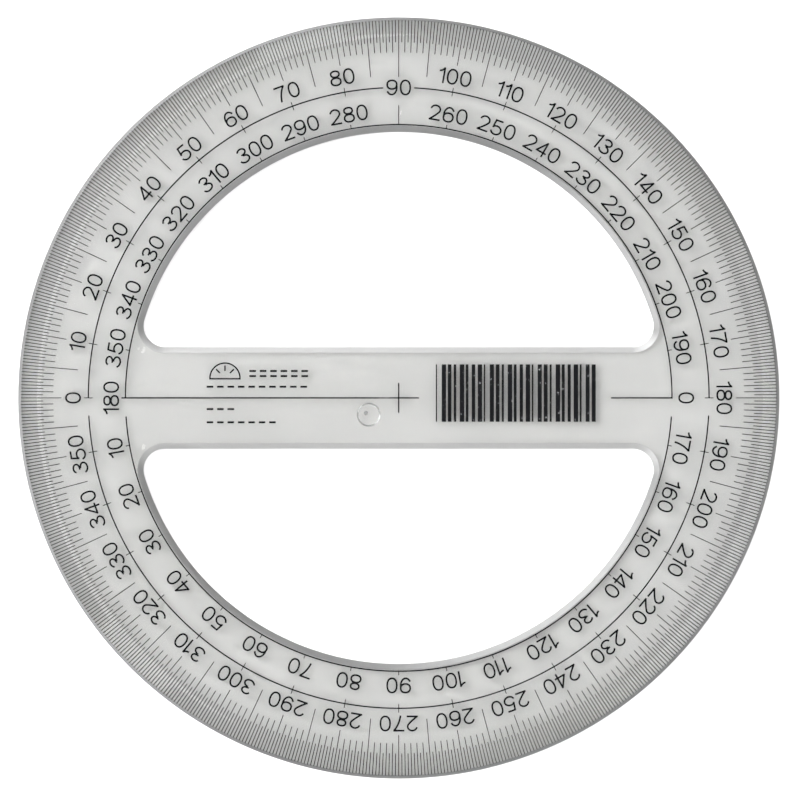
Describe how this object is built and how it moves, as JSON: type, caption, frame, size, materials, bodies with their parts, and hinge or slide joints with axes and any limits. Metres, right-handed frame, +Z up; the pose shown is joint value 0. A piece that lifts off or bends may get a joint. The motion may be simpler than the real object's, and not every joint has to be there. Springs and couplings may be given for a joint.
{
  "type": "protractor",
  "caption": "Full-circle clear plastic protractor: a bevelled ring with a crossbar between two D-shaped windows, printed with a double degree scale and a centre cross.",
  "frame": {"origin": "centre of the reading cross, on the flat underside", "axes": "+Z up through the plate, +Y towards the 90 degree mark, +X along the base line towards its right-hand end"},
  "size_m": [0.15, 0.15, 0.0018],
  "materials": {
    "clear_plastic": "clear moulded plastic with a faint grey cast, glossy on both faces, with a fine matt look on the chamfers round the windows and the rim",
    "print_ink": "thin near-black print with a slight sheen, a little worn in the solid areas"
  },
  "bodies": {
    "root": {"moulded_plate": "clear_plastic", "half_degree_ticks": "print_ink", "degree_ticks": "print_ink", "five_degree_ticks": "print_ink", "ten_degree_ticks": "print_ink", "ninety_degree_line": "print_ink", "outer_scale_circle": "print_ink", "outer_circle_marks": "print_ink", "inner_scale_circle": "print_ink", "inner_circle_marks": "print_ink", "outer_scale_numerals": "print_ink", "inner_scale_numerals": "print_ink", "base_line": "print_ink", "centre_cross": "print_ink", "pictogram": "print_ink", "ornamental_rules": "print_ink", "bar_block": "print_ink"}
  },
  "joints": []
}
